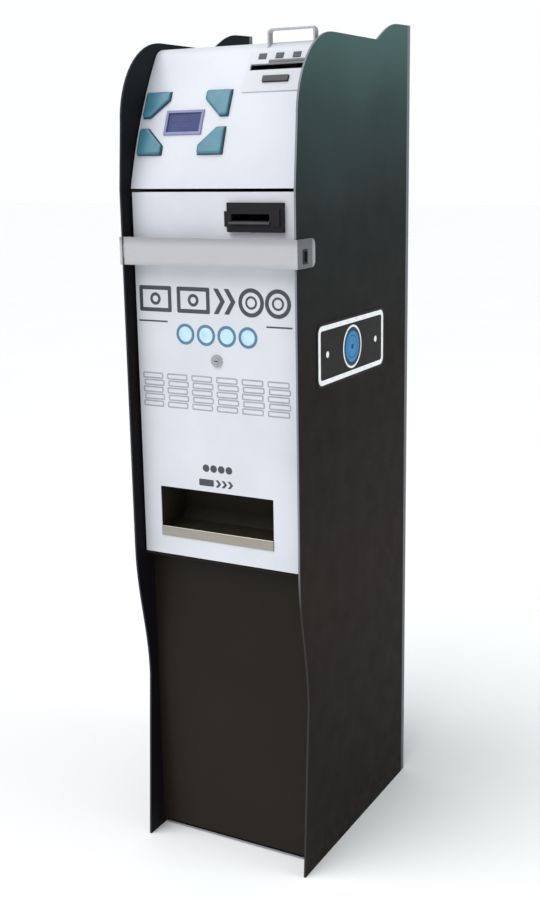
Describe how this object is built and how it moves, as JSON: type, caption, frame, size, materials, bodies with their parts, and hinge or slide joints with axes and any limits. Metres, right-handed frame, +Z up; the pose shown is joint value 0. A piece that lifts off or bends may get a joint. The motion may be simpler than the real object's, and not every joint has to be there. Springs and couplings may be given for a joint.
{
  "type": "coin change machine with bill validator",
  "caption": "Slim floor-standing change machine: dark waisted side panels, white door and curved hood, note slot, coin tray, security strap and opening inner works.",
  "frame": {"origin": "on the floor, at the centre of the four floor anchor holes", "axes": "+Z up, +X to the right seen from the front, the front faces -Y"},
  "size_m": [0.366, 0.5235, 1.6],
  "materials": {
    "side_paint": "satin",
    "white_paint": "semi-gloss",
    "inner_steel": "zinc plated",
    "rear_paint": "satin",
    "kick_paint": "semi-gloss",
    "strap_steel": "satin",
    "hinge_steel": "satin",
    "handle_steel": "satin",
    "black_plastic": "matte",
    "dark_plastic": "matte",
    "key_plastic": "gloss",
    "frame_plastic": "gloss",
    "inlet_plastic": "satin",
    "window_glass": "clear",
    "lamp_plastic": "gloss",
    "pcb": "satin",
    "bush_brass": "turned",
    "lock_chrome": "polished",
    "lip_steel": "brushed",
    "roller_rubber": "matte",
    "box_steel": "satin",
    "acceptor_plastic": "matte",
    "bin_plastic": "matte",
    "disc_alloy": "turned",
    "drive_metal": "satin",
    "supply_metal": "satin",
    "switch_red": "gloss",
    "badge_film": "satin"
  },
  "bodies": {
    "cabinet": {"left_side_panel": "side_paint", "right_side_panel": "side_paint", "rear_panel": "rear_paint", "base_plate": "inner_steel", "kick_panel": "kick_paint", "lower_shelf": "kick_paint", "hopper_shelf": "inner_steel", "top_cover": "white_paint", "lock_crossbar": "inner_steel", "door_pivot_brackets": "inner_steel", "hood_hinge_fixed": "hinge_steel", "hood_hinge_pin": "hinge_steel", "strap_hinge_leaf": "strap_steel", "strap_hinge_pin": "hinge_steel", "strap_rivets": "hinge_steel", "validator_head": "black_plastic", "cash_box": "box_steel", "validator_bracket": "inner_steel", "coin_acceptor": "acceptor_plastic", "coin_funnel": "dark_plastic", "coin_drop_tube": "inner_steel", "hopper_bin_left": "bin_plastic", "hopper_bin_right": "bin_plastic", "hopper_spouts": "dark_plastic", "hopper_drives": "drive_metal", "control_board": "pcb", "power_supply": "supply_metal", "fan_frame": "black_plastic", "mains_inlet": "black_plastic", "cable_gland": "black_plastic", "side_badge": "badge_film"},
    "door": {"door_panel": "white_paint", "door_pivot_bushes": "bush_brass", "note_mask": "black_plastic", "note_mask_lip": "dark_plastic", "payout_cup": "black_plastic", "payout_lip": "lip_steel", "lock_housing": "lock_chrome", "lock_nut": "bush_brass"},
    "hood": {"hood_panel": "white_paint", "hood_hinge_moving": "hinge_steel", "hood_handle": "handle_steel", "display_frame": "frame_plastic", "display_window": "window_glass", "display_board": "pcb", "inlet_plate": "inlet_plastic", "inlet_lamps": "lamp_plastic"},
    "security_strap": {"security_strap": "strap_steel"},
    "lock_plug": {"lock_plug": "lock_chrome"},
    "reject_bar": {"reject_bar": "dark_plastic"},
    "feed_roller_upper": {"feed_roller_upper": "roller_rubber"},
    "feed_roller_lower": {"feed_roller_lower": "roller_rubber"},
    "hopper_disc_left": {"hopper_disc_left": "disc_alloy"},
    "hopper_disc_right": {"hopper_disc_right": "disc_alloy"},
    "fan_rotor": {"fan_rotor": "dark_plastic"},
    "mains_switch": {"mains_switch": "switch_red"},
    "key_upper_left": {"key_upper_left": "key_plastic"},
    "key_upper_right": {"key_upper_right": "key_plastic"},
    "key_lower_left": {"key_lower_left": "key_plastic"},
    "key_lower_right": {"key_lower_right": "key_plastic"}
  },
  "joints": [
    {"name": "door_swing", "type": "hinge", "parent": "cabinet", "child": "door", "pos_m": [-0.164, -0.214, 0.95], "axis": [0, 0, -1], "range_deg": [0, 90]},
    {"name": "strap_swing", "type": "hinge", "parent": "cabinet", "child": "security_strap", "pos_m": [-0.1775, -0.254, 1.191], "axis": [0, 0, -1], "range_deg": [0, 100]},
    {"name": "hood_lift", "type": "hinge", "parent": "cabinet", "child": "hood", "pos_m": [0, 0.09, 1.54697], "axis": [-1, 0, 0], "range_deg": [0, 60]},
    {"name": "lock_turn", "type": "hinge", "parent": "door", "child": "lock_plug", "pos_m": [0, -0.222, 0.993], "axis": [0, -1, 0], "range_deg": [0, 90]},
    {"name": "key_upper_left_press", "type": "slide", "parent": "hood", "child": "key_upper_left", "axis": [0, 0.9098, -0.4149], "range_m": [0, 0.002], "stiffness_N_per_m": 900, "springref_m": -0.001},
    {"name": "key_upper_right_press", "type": "slide", "parent": "hood", "child": "key_upper_right", "axis": [0, 0.9098, -0.4149], "range_m": [0, 0.002], "stiffness_N_per_m": 900, "springref_m": -0.001},
    {"name": "key_lower_left_press", "type": "slide", "parent": "hood", "child": "key_lower_left", "axis": [0, 0.9409, -0.3387], "range_m": [0, 0.002], "stiffness_N_per_m": 900, "springref_m": -0.001},
    {"name": "key_lower_right_press", "type": "slide", "parent": "hood", "child": "key_lower_right", "axis": [0, 0.9409, -0.3387], "range_m": [0, 0.002], "stiffness_N_per_m": 900, "springref_m": -0.001},
    {"name": "reject_bar_press", "type": "slide", "parent": "hood", "child": "reject_bar", "axis": [0, 0.8888, -0.4583], "range_m": [0, 0.003], "stiffness_N_per_m": 700, "springref_m": -0.001},
    {"name": "feed_roller_upper_spin", "type": "hinge", "parent": "cabinet", "child": "feed_roller_upper", "pos_m": [0.08, -0.178, 1.2597], "axis": [1, 0, 0], "continuous": true},
    {"name": "feed_roller_lower_spin", "type": "hinge", "parent": "cabinet", "child": "feed_roller_lower", "pos_m": [0.08, -0.178, 1.2433], "axis": [1, 0, 0], "continuous": true},
    {"name": "hopper_disc_left_spin", "type": "hinge", "parent": "cabinet", "child": "hopper_disc_left", "pos_m": [-0.077, -0.1, 0.815], "axis": [0, 0, 1], "continuous": true},
    {"name": "hopper_disc_right_spin", "type": "hinge", "parent": "cabinet", "child": "hopper_disc_right", "pos_m": [0.077, -0.1, 0.815], "axis": [0, 0, 1], "continuous": true},
    {"name": "fan_spin", "type": "hinge", "parent": "cabinet", "child": "fan_rotor", "pos_m": [0.095, 0.235, 1.4], "axis": [0, 1, 0], "continuous": true},
    {"name": "mains_switch_rock", "type": "hinge", "parent": "cabinet", "child": "mains_switch", "pos_m": [-0.0955, 0.246, 0.12], "axis": [1, 0, 0], "range_deg": [0, 14]}
  ],
  "couplings": [
    {"joint": "strap_swing", "follows": "door_swing", "ratio": 1.1111},
    {"joint": "feed_roller_lower_spin", "follows": "feed_roller_upper_spin", "ratio": -1}
  ]
}
